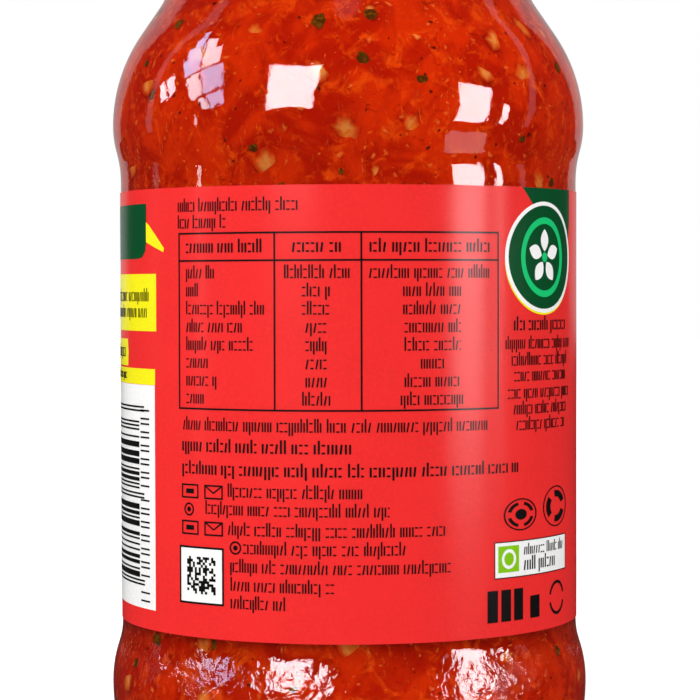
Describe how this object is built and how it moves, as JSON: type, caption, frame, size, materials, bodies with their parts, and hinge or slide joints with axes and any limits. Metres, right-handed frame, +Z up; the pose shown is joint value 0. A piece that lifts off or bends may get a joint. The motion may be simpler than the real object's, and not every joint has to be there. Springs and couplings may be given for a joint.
{
  "type": "jar of tomato and basil sauce",
  "caption": "Shut glass jar of tomato and basil sauce with a wrap-round paper label and a twist-off steel lid.",
  "frame": {"origin": "on the jar's axis, in the plane of the foot ring that it stands on", "axes": "+Z up along the jar's axis; the back panel of the label, with its table, faces -Y"},
  "size_m": [0.0764, 0.0764, 0.1415],
  "materials": {
    "glass": "clear moulded flint glass, smooth",
    "sauce": "thick wet tomato sauce with basil flakes and onion pieces",
    "label": "red printed and varnished paper",
    "lid": "gloss lacquered steel",
    "seal": "matt cast sealing compound"
  },
  "bodies": {
    "root": {"jar": "glass", "sauce": "sauce", "label": "label", "lid": "lid", "lid_seal": "seal"}
  },
  "joints": []
}
